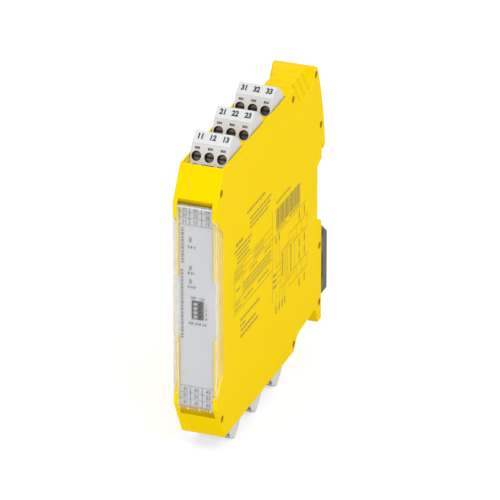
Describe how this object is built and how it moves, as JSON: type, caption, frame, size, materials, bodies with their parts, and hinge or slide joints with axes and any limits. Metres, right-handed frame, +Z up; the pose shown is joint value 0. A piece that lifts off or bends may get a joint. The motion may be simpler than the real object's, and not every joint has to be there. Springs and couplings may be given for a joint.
{
  "type": "interface relay module",
  "caption": "Slim interface relay module for a top-hat rail, with plug-in screw terminals, a hinged clear front cover, slide switches and a sliding rail catch.",
  "frame": {"origin": "middle of the rail seat: the seat plane, the rail's centreline and the middle of the width", "axes": "+Y out of the back, at right angles to the rail's face; +Z up; +X across the width, along the rail"},
  "size_m": [0.0176, 0.1225, 0.1268],
  "materials": {
    "housing": "fine satin moulded plastic",
    "plug": "satin moulded plastic",
    "screw": "plated steel",
    "clamp": "plated steel",
    "pin": "tinned",
    "header": "moulded",
    "panel": "printed sheet",
    "cover": "clear",
    "switch": "moulded",
    "lever": "moulded",
    "board": "lacquered laminate",
    "guide": "clear",
    "chip": "moulded",
    "relay": "moulded",
    "capacitor": "sleeved",
    "core": "sintered",
    "catch": "satin"
  },
  "bodies": {
    "root": {"capacitor": "capacitor", "circuit_board": "board", "front_panel": "panel", "header_bottom_1": "header", "header_bottom_2": "header", "header_bottom_3": "header", "header_pins_bottom_1": "pin", "header_pins_bottom_2": "pin", "header_pins_bottom_3": "pin", "header_pins_top_1": "pin", "header_pins_top_2": "pin", "header_pins_top_3": "pin", "header_top_1": "header", "header_top_2": "header", "header_top_3": "header", "housing_left": "housing", "housing_right": "housing", "light_chips": "chip", "light_guide_1": "guide", "light_guide_2": "guide", "light_guide_3": "guide", "relay_1": "relay", "relay_2": "relay", "switch_body": "switch", "transformer_core": "core"},
    "cover": {"front_cover": "cover"},
    "lever_1": {"switch_lever_1": "lever"},
    "lever_2": {"switch_lever_2": "lever"},
    "lever_3": {"switch_lever_3": "lever"},
    "lever_4": {"switch_lever_4": "lever"},
    "top_plug_1": {"plug_top_1": "plug", "plug_screws_top_1": "screw", "plug_clamps_top_1": "clamp"},
    "top_plug_2": {"plug_top_2": "plug", "plug_screws_top_2": "screw", "plug_clamps_top_2": "clamp"},
    "top_plug_3": {"plug_top_3": "plug", "plug_screws_top_3": "screw", "plug_clamps_top_3": "clamp"},
    "bottom_plug_1": {"plug_bottom_1": "plug", "plug_screws_bottom_1": "screw", "plug_clamps_bottom_1": "clamp"},
    "bottom_plug_2": {"plug_bottom_2": "plug", "plug_screws_bottom_2": "screw", "plug_clamps_bottom_2": "clamp"},
    "bottom_plug_3": {"plug_bottom_3": "plug", "plug_screws_bottom_3": "screw", "plug_clamps_bottom_3": "clamp"},
    "catch": {"rail_catch": "catch"}
  },
  "joints": [
    {"name": "cover_hinge", "type": "hinge", "parent": "root", "child": "cover", "pos_m": [0, -0.1136, 0.0417], "axis": [-1, 0, 0], "range_deg": [0, 100]},
    {"name": "lever_1_slide", "type": "slide", "parent": "root", "child": "lever_1", "axis": [1, 0, 0], "range_m": [0, 0.0014]},
    {"name": "lever_2_slide", "type": "slide", "parent": "root", "child": "lever_2", "axis": [1, 0, 0], "range_m": [0, 0.0014]},
    {"name": "lever_3_slide", "type": "slide", "parent": "root", "child": "lever_3", "axis": [1, 0, 0], "range_m": [0, 0.0014]},
    {"name": "lever_4_slide", "type": "slide", "parent": "root", "child": "lever_4", "axis": [1, 0, 0], "range_m": [0, 0.0014]},
    {"name": "top_plug_1_pull", "type": "slide", "parent": "root", "child": "top_plug_1", "axis": [0, 0, 1], "range_m": [0, 0.009]},
    {"name": "top_plug_2_pull", "type": "slide", "parent": "root", "child": "top_plug_2", "axis": [0, 0, 1], "range_m": [0, 0.009]},
    {"name": "top_plug_3_pull", "type": "slide", "parent": "root", "child": "top_plug_3", "axis": [0, 0, 1], "range_m": [0, 0.009]},
    {"name": "bottom_plug_1_pull", "type": "slide", "parent": "root", "child": "bottom_plug_1", "axis": [0, 0, -1], "range_m": [0, 0.009]},
    {"name": "bottom_plug_2_pull", "type": "slide", "parent": "root", "child": "bottom_plug_2", "axis": [0, 0, -1], "range_m": [0, 0.009]},
    {"name": "bottom_plug_3_pull", "type": "slide", "parent": "root", "child": "bottom_plug_3", "axis": [0, 0, -1], "range_m": [0, 0.009]},
    {"name": "catch_slide", "type": "slide", "parent": "root", "child": "catch", "axis": [0, 0, -1], "range_m": [0, 0.003], "stiffness_N_per_m": 800, "springref_m": -0.001}
  ]
}
